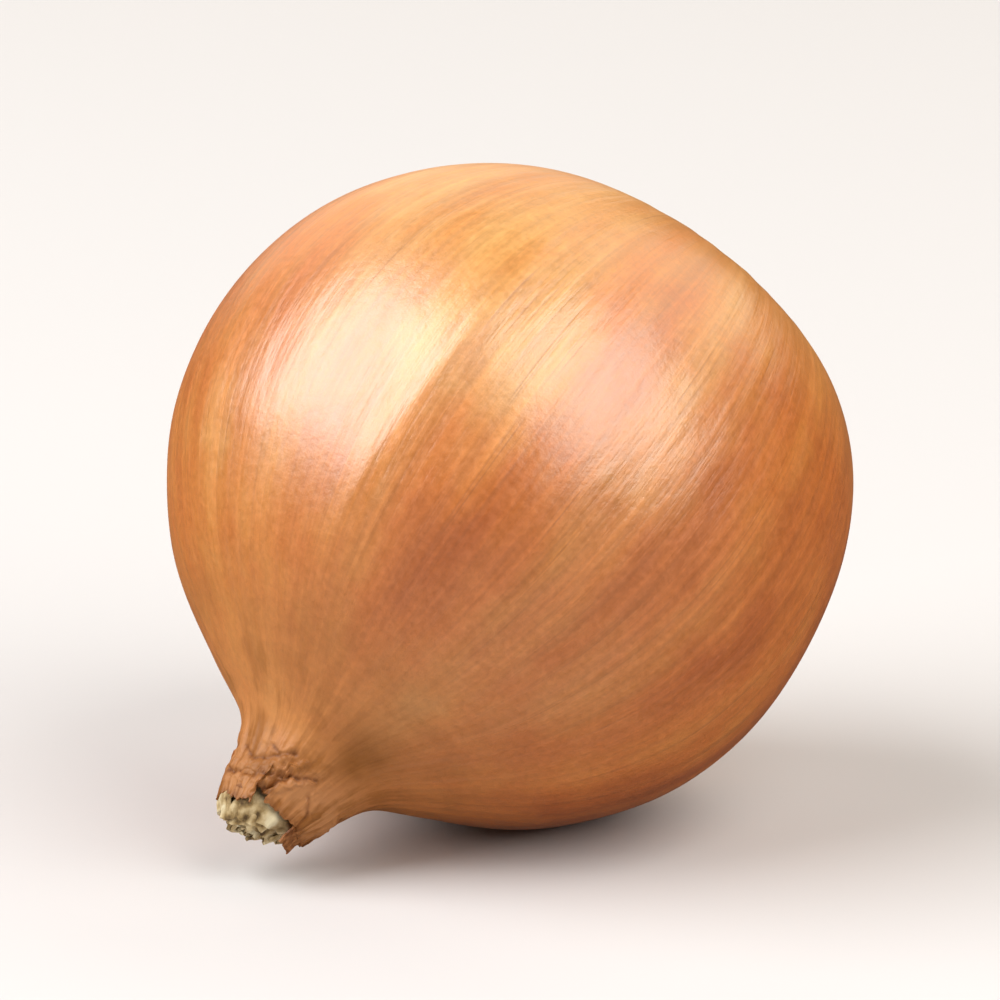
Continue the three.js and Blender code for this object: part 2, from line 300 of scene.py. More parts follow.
def spot(patch, around, along):
    """Falls smoothly from 1 in the middle of a patch to 0 well outside it."""
    turn = around - math.radians(patch["around"])
    turn = np.arctan2(np.sin(turn), np.cos(turn)) / math.radians(patch["wide"])
    return np.exp(-(turn**2) - ((along - patch["along"]) / patch["long"]) ** 2)


def marks(around, along, torn=0.0):
    """Three numbers: crease brown (stain and painted shade) and torn edges, tone and light, olive."""
    brown = np.maximum(creases(around, along)[1], torn)
    tone_and_light = sum(patch["tone_and_light"] * spot(patch, around, along) for patch in TONE_AND_LIGHT_PATCHES)
    olive = sum(spot(patch, around, along) for patch in OLIVE_PATCHES)
    return np.stack([brown, tone_and_light, olive], -1)


print(len(TONE_AND_LIGHT_PATCHES) + len(OLIVE_PATCHES), "patches")

# %% [markdown]
# The skin is one closed surface, so a sphere is the natural start: it has no seam and both of its
# poles are closed. Its rings are slid along a path that starts on the floor of the root hollow,
# folds over the lip, follows the outline and dives into the neck. More rings go where the
# surface is busy.

# %% The path of the rings
HOLLOW_RADIUS = 8.6
HOLLOW_FLOOR = -31.0
HOLLOW_EDGE = (HOLLOW_RADIUS + 0.4, -32.9)
BORE_RADIUS = 4.75
BORE_FLOOR = 41.0
NECK_RIM = 45.2
RINGS = 250


def walk(start, end, steps):
    """Even steps from start, up to but not including end."""
    return [tuple(p) for p in np.linspace(start, end, steps, endpoint=False)]


def ring_path():
    """One [out, along] for each ring: most of them on the skin, closer together near its ends."""
    hollow = walk((0, HOLLOW_FLOOR), (HOLLOW_RADIUS, HOLLOW_FLOOR), 7)
    hollow += walk((HOLLOW_RADIUS, HOLLOW_FLOOR), HOLLOW_EDGE, 4)
    hollow += walk(HOLLOW_EDGE, OUTLINE[0], 5)
    bore = walk(OUTLINE[-1], (BORE_RADIUS, NECK_RIM), 3)
    bore += walk((BORE_RADIUS, NECK_RIM), (BORE_RADIUS, BORE_FLOOR), 8)
    bore += walk((BORE_RADIUS, BORE_FLOOR), (0, BORE_FLOOR), 4)
    bore += [(0, BORE_FLOOR)]
    count = RINGS + 1 - len(hollow) - len(bore)
    distance = np.linspace(0, SKIN_LENGTH, 2000)
    off_lip, on_neck = fade(distance, 2, 20), fade(distance, SKIN_LENGTH - 22, SKIN_LENGTH - 8)
    spacing = 0.3 + 0.7 * off_lip - 0.88 * on_neck
    crowding = np.concatenate([[0], np.cumsum(1 / spacing[1:])])
    reach = np.interp(np.linspace(0, crowding[-1], count, endpoint=False), crowding, distance)
    skin, _ = on_outline(reach)
    return np.array([*hollow, *map(tuple, skin), *bore])


print("stops on the path:", len(ring_path()))

# %% [markdown]
# Each ring of the path is still perfectly round. Its points are moved out by the relief and the
# creases, and those on the rim of the neck also move along the axis, because a dried neck never
# tears straight across.

# %% From the round bulb to the real one


def rim_reach(around):
    """How far the neck's torn rim runs past its mean place, which is furthest on the upper front."""
    torn = 0.4 * np.sin(3 * around + 2.2) + 0.25 * np.sin(7 * around + 1)
    ragged = 0.14 * np.sin(12 * around) + 0.1 * np.sin(29 * around + 2)
    return 0.5 * np.cos(around - math.radians(60)) + torn + ragged


def natural(out, around, along):
    """Takes a point of the ideal round bulb to its place on the real, uneven one."""
    swollen = out + fade(out, 3.5, 4.9) * (relief(around, along) + creases(around, along)[0])
    rim = fade(out, 3.9, 4.5) * fade(along, 41.5, NECK_RIM)
    return placed(swollen, around, along + rim * rim_reach(around))


full_turn = np.linspace(0, 2 * math.pi, 360)
print("the torn rim runs past its mean place by up to", round(rim_reach(full_turn).max(), 2), "mm")

# %% [markdown]
# Every piece below is shaped in the same way: a primitive is added, its vertices are read all at
# once, moved by a formula and written back. A loop over single vertices would take minutes here.
# What a material has to know about a place is stored with the vertices as an attribute.

# %% Reading and writing a mesh


def coordinates(piece):
    found = np.empty(len(piece.data.vertices) * 3)
    piece.data.vertices.foreach_get("co", found)
    return found.reshape(-1, 3)


def reshape(piece, points):
    piece.data.vertices.foreach_set("co", np.ascontiguousarray(points, dtype=np.float64).ravel())
    piece.data.update()


def remember(piece, name, values):
    """Stores one vector for each vertex as an attribute that a material can read."""
    layer = piece.data.attributes.new(name, "FLOAT_VECTOR", "POINT")
    layer.data.foreach_set("vector", np.ascontiguousarray(values, dtype=np.float32).ravel())


def added(name):
    """Names the primitive that was just added and deselects it."""
    piece = bpy.context.object
    piece.name = name
    piece.data.name = name
    bpy.ops.object.select_all(action="DESELECT")
    return piece


print("meshes before the first piece:", len(bpy.data.meshes))

# %% [markdown]
# Now the sphere takes the place of the bulb. This is sculpting by formula, and it gives a far
# truer bulb than pushing a few vertices by hand would. Each vertex also keeps its three numbers in
# an attribute named skin, as the cosine and sine of the angle and the distance along, so that the
# pattern has no seam.

# %% The bulb
SEGMENTS = 384


def skin_numbers(around, along):
    """What the skin's patterns are laid out on: the angle's cosine and sine, and the distance."""
    return np.stack([np.cos(around), np.sin(around), along / BULB_RADIUS], -1)


bpy.ops.mesh.primitive_uv_sphere_add(segments=SEGMENTS, ring_count=RINGS, radius=1)
bulb = added("bulb_skin")
unit = coordinates(bulb)
ring = np.rint(np.arccos(np.clip(unit[:, 2], -1, 1)) * RINGS / math.pi).astype(int)
around = np.arctan2(unit[:, 1], unit[:, 0])
out, along = ring_path()[ring].T
reshape(bulb, natural(out, around, along))
remember(bulb, "skin", skin_numbers(around, along))
# The torn rim of the neck and the hollow of the roots are browner than the rest.
browned = 0.7 * fade(along, NECK_RIM - 0.9, NECK_RIM) + 0.6 * (1 - fade(out, 9.0, 11.5)) * (along < 0)
remember(bulb, "marks", marks(around, along, browned))
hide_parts("bulb")
print("bulb:", len(bulb.data.polygons), "faces")

# %% [markdown]
# The neck is what is left of the leaves. Its outermost sheaths have dried to thin, brittle paper,
# cracked along the neck and torn off at the end. A sheet like that could be cut from the skin, but a
# grid laid over it by distance and angle keeps clean, even faces. It fits the neck closely, with an
# edge that lifts, an end that curls and a tear that wanders.

# %% A sheet of dry skin
SUNK_FOOT = 0.35


def wander(values, seed, waves=(2, 3, 7, 13)):
    """A ragged line between -1 and 1, the same for the same seed."""
    draw = random.Random(seed)
    line = sum(np.sin(n * values * math.pi + draw.uniform(0, 6.28)) / n**0.5 for n in waves)
    return line / sum(n**-0.5 for n in waves)


def paper(name, around, spread, begin, end, lift, curl, tear, seed, cells, edge=0.15, stain_and_shade=0.0):
    """A sheet on the skin, from begin to end, which are distances from the lip in millimetres.

    Its middle is at the angle around, and spread is how wide it is, both in degrees. It lies lift
    off the skin, its end bends out by curl and its sides by edge, and tear is the share torn off.
    """
    bpy.ops.mesh.primitive_grid_add(x_subdivisions=cells[0], y_subdivisions=cells[1], size=2)
    piece = added(name)
    across, run = coordinates(piece)[:, 0], (coordinates(piece)[:, 1] + 1) / 2
    ragged = 0.5 + 0.5 * wander(across, seed)
    reach = run * (1 - tear * ragged * run)
    waver = 1 + 0.07 * wander(run, seed + 1, (1, 2, 5, 11)) * fade(run, 0.1, 0.6)
    angle = math.radians(around) + math.radians(spread / 2) * across * waver
    distance = begin + (end - begin) * reach
    base, heading = on_outline(distance)
    rim = np.abs(across) ** 6
    height = lift * fade(run, 0.2, 0.7) - SUNK_FOOT * (1 - fade(run, 0, 0.5))
    height = height + edge * rim * fade(run, 0.25, 0.8)
    height = height + curl * fade(run, 0.7, 1) ** 1.5
    height = height + 0.04 * fade(run, 0.1, 0.5) * wander(3 * angle + 0.2 * distance, seed + 2)
    height = height + 0.02 * fade(run, 0.1, 0.5) * wander(run + 0.3 * across, seed + 3, (5, 9, 16))
    height = height + relief(angle, base[:, 1]) + creases(angle, base[:, 1])[0]
    radius = base[:, 0] + heading[:, 1] * height
    along = base[:, 1] - heading[:, 0] * height
    reshape(piece, placed(radius, angle, along))
    remember(piece, "skin", skin_numbers(angle, along))
    torn = fade(run, 0.88, 1) + fade(np.abs(across), 0.93, 1) * fade(run, 0.4, 0.8)
    # stain_and_shade paints a sheet dark brown: partly its own brown and partly painted shade.
    torn = np.maximum(0.6 * np.minimum(torn, 1), stain_and_shade * fade(run, 0.3, 0.7))
    remember(piece, "marks", marks(angle, base[:, 1], torn))
    return piece


print("the foot of a sheet is sunk", SUNK_FOOT, "mm into the skin")

# %% [markdown]
# A sheet starts as a single layer. The Solidify modifier gives it the thickness of the real paper,
# and it is applied at once, so that the piece is a plain mesh. Sheets that never part from each
# other are then joined to one piece.

# %% Thickness and joining
SHEATH_THICKNESS = 0.22
SCRAP_THICKNESS = 0.16


def finish(piece, *modifiers):
    """Applies modifiers, each given by its type and its settings."""
    bpy.context.view_layer.objects.active = piece
    for kind, settings in modifiers:
        modifier = piece.modifiers.new(kind.title(), kind)
        for key, value in settings.items():
            setattr(modifier, key, value)
        bpy.ops.object.modifier_apply(modifier=modifier.name)


def joined(name, pieces):
    for piece in pieces:
        piece.select_set(True)
    bpy.context.view_layer.objects.active = pieces[0]
    bpy.ops.object.join()
    return added(name)


print("a sheath is", SHEATH_THICKNESS, "mm thick and a scrap", SCRAP_THICKNESS, "mm")

# %% [markdown]
# Five sheaths overlap round the neck, as the leaves once did. Each has its own width, tear and curl,
# and the third is a small brown flap of an older one, painted darker as the shade inside its curl.
# Their begin and end are counted from the rim of the neck.

# %% The torn sheaths of the neck
SHEATHS = [
    dict(around=-14, spread=88, begin=-6.0, end=2.6, lift=0.34, curl=-0.1, tear=0.16),
    dict(around=94, spread=100, begin=-7.5, end=1.2, lift=0.2, curl=0.15, tear=0.1),
    # The flap's stain_and_shade paints it dark: its own brown and painted shade inside the curl.
    dict(around=108, spread=32, begin=-3.0, end=3.0, lift=0.25, curl=0.3, tear=0.05, stain_and_shade=0.8),
    dict(around=192, spread=92, begin=-6.0, end=0.4, lift=0.12, curl=0.35, tear=0.16),
    dict(around=276, spread=84, begin=-7.0, end=0.6, lift=0.08, curl=0.1, tear=0.12),
]
strips = []
for number, sheath in enumerate(SHEATHS):
    sheath["begin"] += SKIN_LENGTH
    sheath["end"] += SKIN_LENGTH
    strip = paper("sheath", seed=40 + number, cells=(90, 60), **sheath)
    finish(strip, ("SOLIDIFY", {"thickness": SHEATH_THICKNESS * MM, "offset": 1}))
    strips.append(strip)
sheaths = joined("neck_sheaths", strips)
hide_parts("bulb")
print("sheaths:", len(sheaths.data.polygons), "faces")

# %% [markdown]
# Inside the sheaths the inner leaves have dried to a pale, straw-coloured roll. From the end it
# looks like a tight bundle of crumpled paper. It is built as sheets rolled round each other,
# each with its own ragged top, and an attribute named depth tells the material how deep in a
# fold each point is, so that the gaps can be painted darker, as shade. Its other two numbers run
# along a leaf from foot to top, about 7 mm, and around it in units of 4 mm.

# %% The dried leaf ends in the neck
CORE_FOOT = BORE_FLOOR + 0.3
ROLLS = [
    {"radius": 0.8, "top": 48.8, "turns": 0.95},
    {"radius": 1.7, "top": 48.9, "turns": 0.9},
    {"radius": 2.6, "top": 48.7, "turns": 0.93},
    {"radius": 3.4, "top": 48.4, "turns": 0.9},
    {"radius": 4.15, "top": 47.8, "turns": 0.94},
]
SLANT = 0.9
SLANT_RADIUS = 4.3
HIGH_SIDE = math.radians(-41)
LEAF_THICKNESS = 0.34
LEAF_LENGTH = 7.2
ARC_UNIT = 4


def roll(name, radius, top, turns, seed):
    """A leaf end rolled round the axis, bulging out of the neck, crumpled and narrow at its top."""
    cells = (int(34 + 26 * radius), 44)
    bpy.ops.mesh.primitive_grid_add(x_subdivisions=cells[0], y_subdivisions=cells[1], size=2)
    piece = added(name)
    across, run = coordinates(piece)[:, 0], (coordinates(piece)[:, 1] + 1) / 2
    angle = math.pi * turns * across + seed
    folds = wander(angle * radius / 5.5, seed, (2, 3, 5, 9))
    crumple = wander(run * 0.9 + angle * 0.5, seed + 1, (2, 3, 5))
    height = top - CORE_FOOT + SLANT * radius / SLANT_RADIUS * np.cos(angle - HIGH_SIDE)
    height = height + 0.5 * wander(angle * 0.5, seed + 2, (2, 3, 5, 9))
    along = CORE_FOOT + run * height
    out = radius * (1 + 0.07 * fade(along, 45.0, 46.4) - 0.28 * fade(run, 0.8, 1.05))
    out = out + 0.08 * across
    out = out + (0.22 * folds + 0.18 * crumple) * fade(along, 45.2, 46.6)
    out = np.maximum(out, 0.15)
    reshape(piece, placed(out, angle + 0.25 * run, along))
    remember(piece, "depth", np.stack([folds, run, angle * radius / ARC_UNIT], -1))
    return piece


layers = []
for number, leaf in enumerate(ROLLS):
    layer = roll("leaf_end", seed=11 * number + 3, **leaf)
    finish(layer, ("SOLIDIFY", {"thickness": LEAF_THICKNESS * MM, "offset": 0}))
    layers.append(layer)
leaf_ends = joined("dried_leaf_ends", layers)
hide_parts("neck_core")
print("leaf ends:", len(leaf_ends.data.polygons), "faces")

# %% [markdown]
# The roots grew from a corky plate in the hollow at the other end. It is hardly more than a lumpy
# disc, so it's a sphere pressed flat, with its sides kept steep and its outer face roughened.

# %% The root plate
PLATE_RADIUS = HOLLOW_RADIUS - 0.4
PLATE_FOOT = HOLLOW_FLOOR - 0.3
PLATE_HEIGHT = 1.7
bpy.ops.mesh.primitive_uv_sphere_add(segments=96, ring_count=48, radius=1)
plate = added("root_plate")
unit = coordinates(plate)
flat = np.hypot(unit[:, 0], unit[:, 1])
turn = np.arctan2(unit[:, 1], unit[:, 0])
bulge = np.sign(unit[:, 2]) * np.abs(unit[:, 2]) ** 0.5
lumps = 0.25 * wander(turn / 2 + 2 * flat, 5, (3, 7, 12))
lumps = lumps + 0.2 * wander(3 * flat - turn, 6, (2, 5, 9))
plate_along = PLATE_FOOT - PLATE_HEIGHT * (0.5 + 0.5 * bulge)
plate_along = plate_along - lumps * fade(unit[:, 2], -0.2, 0.6) * flat
reshape(plate, placed(PLATE_RADIUS * flat, turn, plate_along))
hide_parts("root_crown")
print("root plate:", round(2 * PLATE_RADIUS, 1), "mm across")

# %% [markdown]
# What is left of the roots is a tuft of dead, curled threads. Hair curves would be quicker, but a
# thread you can see needs a real thickness, so one rootlet is modelled as a thin tube, to be copied
# later. Five sides are enough for a thread, and the cuts across it let it bend.

# %% One rootlet
ROOTLET_SIDES = 5
ROOTLET_STEPS = 8


def one_rootlet():
    """A straight tube of length 1 and radius 1, cut into short lengths so that it can bend."""
    middle = (0, 0, 0.5)
    bpy.ops.mesh.primitive_cylinder_add(vertices=ROOTLET_SIDES, radius=1, depth=1, location=middle)
    piece = bpy.context.object
    bpy.ops.object.transform_apply(location=True)
    bpy.ops.object.mode_set(mode="EDIT")
    for cut in range(1, ROOTLET_STEPS):
        bpy.ops.mesh.select_all(action="SELECT")
        bpy.ops.mesh.bisect(plane_co=(0, 0, cut / ROOTLET_STEPS), plane_no=(0, 0, 1))
    bpy.ops.object.mode_set(mode="OBJECT")
    return added("rootlet")


print("a rootlet bends at", ROOTLET_STEPS - 1, "places")

# %% [markdown]
# Most of the threads are dark brown, and a few are still pale. Each copy has its own mesh, taper and
# bend, drawn from a seeded generator. The golden angle spreads them evenly, as a plant does.

# %% The tuft of roots
GOLDEN_ANGLE = math.pi * (3 - math.sqrt(5))


def tuft(name, count, seed, length, thickness, wild):
    """Copies of the rootlet, each bent its own way, spread over the plate and joined."""
    pattern = one_rootlet()
    shape = coordinates(pattern)
    draw = random.Random(seed)
    pieces = []
    for number in range(count):
        outward = math.sqrt((number + 0.5) / count)
        turn = number * GOLDEN_ANGLE + draw.uniform(-0.2, 0.2)
        reach = draw.uniform(*length)
        girth = draw.uniform(*thickness)
        spread = draw.uniform(-0.3, 0.9) * (1 - 0.55 * outward)
        curl, sway = draw.uniform(-wild, wild), draw.uniform(-wild, wild)
        phase = draw.uniform(0, 6.28)
        run = shape[:, 2]
        slim = girth * (1 - 0.72 * run)
        out = outward * (PLATE_RADIUS - 0.5) + slim * shape[:, 0] + spread * run * reach
        out = out + sway * run**2 + 0.25 * np.sin(7 * run + phase) * run
        side = slim * shape[:, 1] + curl * run**2 + 0.25 * np.cos(6 * run + phase) * run
        rise = PLATE_FOOT - PLATE_HEIGHT + 0.5 - reach * run * (1 - 0.25 * run)
        rootlet = pattern.copy()
        rootlet.data = pattern.data.copy()
        bpy.context.collection.objects.link(rootlet)
        flat_x = out * math.cos(turn) - side * math.sin(turn)
        flat_y = out * math.sin(turn) + side * math.cos(turn)
        reshape(rootlet, placed(np.hypot(flat_x, flat_y), np.arctan2(flat_y, flat_x), rise))
        pieces.append(rootlet)
    bpy.data.objects.remove(pattern)
    return joined(name, pieces)


dark_roots = tuft("dark_rootlets", 230, 21, (2.0, 4.4), (0.18, 0.42), 1.6)
pale_roots = tuft("pale_rootlets", 56, 22, (1.8, 4.2), (0.14, 0.3), 2.2)
for roots in (dark_roots, pale_roots):
    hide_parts("root_crown")
    print(roots.name + ":", len(roots.data.polygons), "faces")

# %% [markdown]
# Round the roots the dry skin ends in a ragged edge, where its outer layers have flaked off. Torn
# scraps of many sizes give that edge. They are made as the sheaths of the neck are, with random
# widths, tears and curls, because two scraps that look alike would give the copying away.

# %% Scraps of skin round the roots
SCRAPS = 24
draw = random.Random(9)
strips = []
for number in range(SCRAPS):
    strip = paper(
        "scrap",
        around=(number + draw.uniform(-0.45, 0.45)) * 360 / SCRAPS,
        spread=draw.uniform(8, 40),
        begin=draw.uniform(1.5, 7.5),
        end=draw.uniform(-1.9, 0.6),
        lift=draw.uniform(0.04, 0.22),
        curl=draw.uniform(0.1, 0.9),
        tear=draw.uniform(0.1, 0.45),
        seed=200 + number,
        cells=(18, 18),
        edge=draw.uniform(0.0, 0.12),
    )
    finish(strip, ("SOLIDIFY", {"thickness": SCRAP_THICKNESS * MM, "offset": -1}))
    strips.append(strip)
scraps = joined("root_scraps", strips)
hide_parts("bulb")
print("scraps:", len(scraps.data.polygons), "faces")

# %% [markdown]
# A material is a small graph of nodes. Colours are written as the hex values that a colour picker
# shows, and one function turns them to the linear numbers that Blender works in. One more
# function adds a node with its settings and its links, so that a graph reads from top to bottom.

# %% Colours and nodes


def linear(colour):
    """Turns a hex colour as seen on a screen to linear red, green, blue and alpha."""
    shares = [int(colour[i : i + 2], 16) / 255 for i in (1, 3, 5)]
    return [s / 12.92 if s <= 0.04045 else ((s + 0.055) / 1.055) ** 2.4 for s in shares] + [1.0]


def add(owner, kind, settings, links=None):
    """Adds a node to a material or a world.

    Sockets go by name or by number, and each link gives a node or one of its outputs.
    """
    node = owner.node_tree.nodes.new(kind)
    for key, value in settings.items():
        if key == "stops":
            for _ in value[2:]:
                node.color_ramp.elements.new(0.5)
            for element, (place, colour) in zip(node.color_ramp.elements, value):
                element.position = place
                element.color = linear(colour)
        elif isinstance(key, str) and hasattr(node, key):
            setattr(node, key, value)
        else:
            node.inputs[key].default_value = value
    for key, source in (links or {}).items():
        socket = source.outputs[0] if isinstance(source, bpy.types.Node) else source
        owner.node_tree.links.new(socket, node.inputs[key])
    return node


def new_material(name):
    material = bpy.data.materials.new(name)
    material.use_nodes = True
    material.node_tree.nodes.clear()
    return material


# A Mix node has one set of sockets for colours and another for plain numbers, and a Map Range node
# takes a range of values to a new one. These are the numbers of their sockets.
MIX_FACTOR, MIX_A, MIX_B, MIX_RESULT = 0, 6, 7, 2
MIX_NUMBER_A, MIX_NUMBER_B = 2, 3
FROM_LOW, FROM_HIGH, TO_LOW, TO_HIGH = 1, 2, 3, 4
print("a mid orange in linear numbers:", [round(v, 3) for v in linear("#cc7430")])

# %% [markdown]
# Dry onion skin is a leaf base that has dried to a few cell layers of brown, translucent paper. To
# the eye that is a warm orange, mottled in soft patches, with close parallel veins from root to
# neck, and a soft gloss like waxed paper. The patterns are stretched along the veins, and each
# of their sizes is given in millimetres, around the bulb and along it. The real fibres are about
# 0.2 mm apart. That is too fine to show in the render, so they are drawn 0.5 mm apart.

# %% Dry onion skin and its patterns
skin = new_material("dry_onion_skin")
numbers = add(skin, "ShaderNodeAttribute", {"attribute_name": "skin"})
numbers = numbers.outputs["Vector"]
along_skin = add(skin, "ShaderNodeSeparateXYZ", {}, {0: numbers}).outputs["Z"]


def stretched(around_mm, along_mm):
    """The scale that makes a pattern of size 1 as large as this on the bulb."""
    return (BULB_RADIUS / around_mm, BULB_RADIUS / around_mm, BULB_RADIUS / along_mm)


patterns = {}
for name, size, detail, rough in [
    ("patches", (16, 60), 3, 0.5),
    ("blush", (26, 34), 2, 0.5),
    ("streaks", (1.5, 45), 3, 0.6),
    ("veins", (6.5, 700), 1, 0.4),
    ("fine_veins", (2.3, 500), 1, 0.4),
    ("vein_breaks", (4, 15), 2, 0.5),
    ("fibres", (0.5, 30), 3, 0.6),
    ("dents", (4, 11), 2, 0.5),
    ("mottle", (1.5, 9), 3, 0.6),
    ("stains", (26, 4), 3, 0.6),
    ("neck_lines", (7, 7), 3, 0.6),
]:
    stretch = add(skin, "ShaderNodeMapping", {"Scale": stretched(*size)}, {0: numbers})
    patterns[name] = add(
        skin,
        "ShaderNodeTexNoise",
        {"Scale": 1, "Detail": detail, "Roughness": rough},
        {"Vector": stretch},
    ).outputs["Fac"]

# Two more patterns have no grain. They are as wide as they are long, also where the neck is thin.
place = add(skin, "ShaderNodeTexCoord", {}).outputs["Object"]
SPECKLE_SIZE = 0.8
BLOTCH_SIZE = 5
speckle = {"Scale": 1 / (SPECKLE_SIZE * MM), "Detail": 2, "Roughness": 0.6}
speckle = add(skin, "ShaderNodeTexNoise", speckle, {"Vector": place}).outputs["Fac"]
blotch = {"Scale": 1 / (BLOTCH_SIZE * MM), "Detail": 3, "Roughness": 0.6}
blotch = add(skin, "ShaderNodeTexNoise", blotch, {"Vector": place}).outputs["Fac"]
print(len(patterns) + 2, "patterns")

# %% [markdown]
# The upper side is painted more golden and the lower side more russet, as painted light from
# above and painted shade below, with patches of both all over. Towards the neck, plainness falls
# from 1 and the patterns fade out, because the skin is smoother there. One colour ramp turns the
# tone and its painted light to russet or gold, and a redder blush is laid over it here and there.

# %% The colour of the bulb's skin
side = add(skin, "ShaderNodeSeparateXYZ", {}, {0: numbers}).outputs["X"]
# Painted light and shade: the upper side is made more golden and the lower side more russet.
UPPER_PAINTED_LIGHT = 0.09
MIDDLE_TONE = 0.56
tone_and_light = add(
    skin,
    "ShaderNodeMath",
    {"operation": "MULTIPLY_ADD", 1: UPPER_PAINTED_LIGHT},
    {0: side, 2: patterns["patches"]},
)
plainness = add(
    skin,
    "ShaderNodeMapRange",
    {FROM_LOW: 0.45, FROM_HIGH: 0.88, TO_LOW: 1.0, TO_HIGH: 0.2},
    {0: along_skin},
)
tone_and_light = add(
    skin,
    "ShaderNodeMix",
    {"data_type": "FLOAT", MIX_NUMBER_A: MIDDLE_TONE},
    {MIX_FACTOR: plainness, MIX_NUMBER_B: tone_and_light},
)
marked = add(skin, "ShaderNodeAttribute", {"attribute_name": "marks"}).outputs["Vector"]
marked = add(skin, "ShaderNodeSeparateXYZ", {}, {0: marked})
# The Y of marks adds the tone patches, several of which are painted light and shade.
tone_and_light = add(skin, "ShaderNodeMath", {"operation": "ADD"}, {0: tone_and_light, 1: marked.outputs["Y"]})
blotch = add(
    skin,
    "ShaderNodeMapRange",
    {FROM_LOW: 0.3, FROM_HIGH: 0.7, TO_LOW: -0.045, TO_HIGH: 0.045},
    {0: blotch},
)
tone_and_light = add(skin, "ShaderNodeMath", {"operation": "ADD"}, {0: tone_and_light, 1: blotch})
RUSSET_TO_GOLD = [
    (0.24, "#a8540c"),
    (0.34, "#b75c12"),
    (0.47, "#cd7120"),
    (0.6, "#d68532"),
    (0.76, "#e3a65c"),
]
colour = add(skin, "ShaderNodeValToRGB", {"stops": RUSSET_TO_GOLD}, {0: tone_and_light})
blush = add(
    skin,
    "ShaderNodeMapRange",
    {FROM_LOW: 0.48, FROM_HIGH: 0.68, TO_LOW: 0, TO_HIGH: 0.3},
    {0: patterns["blush"]},
)
colour = add(
    skin,
    "ShaderNodeMix",
    {"data_type": "RGBA", MIX_B: linear("#c4702f")},
    {MIX_FACTOR: blush, MIX_A: colour},
).outputs[MIX_RESULT]
print("from russet", RUSSET_TO_GOLD[0][1], "to gold", RUSSET_TO_GOLD[-1][1])

# %% [markdown]
# Streaks, fibres and mottle lighten and darken the skin by a tenth or so, each by its own share.
# They fade out with plainness too, while the fine grain does the same all over. Multiplying the
# colour keeps its hue, which mixing in black or white wouldn't.

# %% Streaks and grain
shares = {}
for name, darkest, lightest in [
    ("streaks", 0.88, 1.1),
    ("fibres", 0.91, 1.07),
    ("mottle", 0.94, 1.06),
]:
    shares[name] = add(
        skin,
        "ShaderNodeMapRange",
        {FROM_LOW: 0.3, FROM_HIGH: 0.7, TO_LOW: darkest, TO_HIGH: lightest},
        {0: patterns[name]},
    )
shade = shares["streaks"]
for name in ("fibres", "mottle"):
    shade = add(skin, "ShaderNodeMath", {"operation": "MULTIPLY"}, {0: shade, 1: shares[name]})
shade = add(
    skin,
    "ShaderNodeMix",
    {"data_type": "FLOAT", MIX_NUMBER_A: 1.0},
    {MIX_FACTOR: plainness, MIX_NUMBER_B: shade},
)
grain = add(
    skin,
    "ShaderNodeMapRange",
    {FROM_LOW: 0.3, FROM_HIGH: 0.7, TO_LOW: 0.91, TO_HIGH: 1.09},
    {0: speckle},
)
shade = add(skin, "ShaderNodeMath", {"operation": "MULTIPLY"}, {0: shade, 1: grain})
colour = add(skin, "ShaderNodeVectorMath", {"operation": "SCALE"}, {0: colour, "Scale": shade})
print(len(shares) + 1, "patterns shade the skin")

# %% [markdown]
# The neck has weathered to a dull tan, with brown stains across it and olive ones at its foot. Round
# the roots the skin is a paler gold. Each colour is mixed in over the one before, and how much of it
# there is depends on the distance along the onion or on the marks.

# %% The colours of the neck and of the root end
neck_tan = add(
    skin,
    "ShaderNodeMapRange",
    {FROM_LOW: 0.7, FROM_HIGH: 1.12, TO_LOW: 0, TO_HIGH: 0.8},
    {0: along_skin},
)
stained = add(
    skin,
    "ShaderNodeMath",
    {"operation": "MULTIPLY"},
    {0: patterns["stains"], 1: patterns["neck_lines"]},
)
stained = add(
    skin,
    "ShaderNodeMapRange",
    {FROM_LOW: 0.2, FROM_HIGH: 0.32, TO_LOW: 0, TO_HIGH: 1.0},
    {0: stained},
)
stained = add(skin, "ShaderNodeMath", {"operation": "MULTIPLY"}, {0: stained, 1: neck_tan})
olive = add(skin, "ShaderNodeMath", {"operation": "MULTIPLY", 1: 1.7}, {0: marked.outputs["Z"]})
olive = add(skin, "ShaderNodeMath", {"operation": "MULTIPLY"}, {0: olive, 1: patterns["stains"]})
stained = add(skin, "ShaderNodeMath", {"operation": "MAXIMUM"}, {0: stained, 1: olive})
root_gold = add(
    skin,
    "ShaderNodeMapRange",
    {FROM_LOW: -0.5, FROM_HIGH: -0.88, TO_LOW: 0, TO_HIGH: 0.7},
    {0: along_skin},
)
END_COLOURS = [("#ad7b50", neck_tan), ("#88500f", stained), ("#dc9a48", root_gold)]
for laid_over, share in END_COLOURS:
    colour = add(
        skin,
        "ShaderNodeMix",
        {"data_type": "RGBA", MIX_B: linear(laid_over)},
        {MIX_FACTOR: share, MIX_A: colour},
    ).outputs[MIX_RESULT]
print("laid over each other:", [laid_over for laid_over, _ in END_COLOURS])

# %% [markdown]
# A vein runs wherever a noise crosses its middle value. The noise hardly changes along the bulb, so
# the veins run on from root to neck and never fork. Another noise fades them in and out. The
# creases and torn edges are painted dark brown, in the creases partly as stain and partly as
# painted shade, and the speckle breaks that brown up, so that it doesn't look drawn.

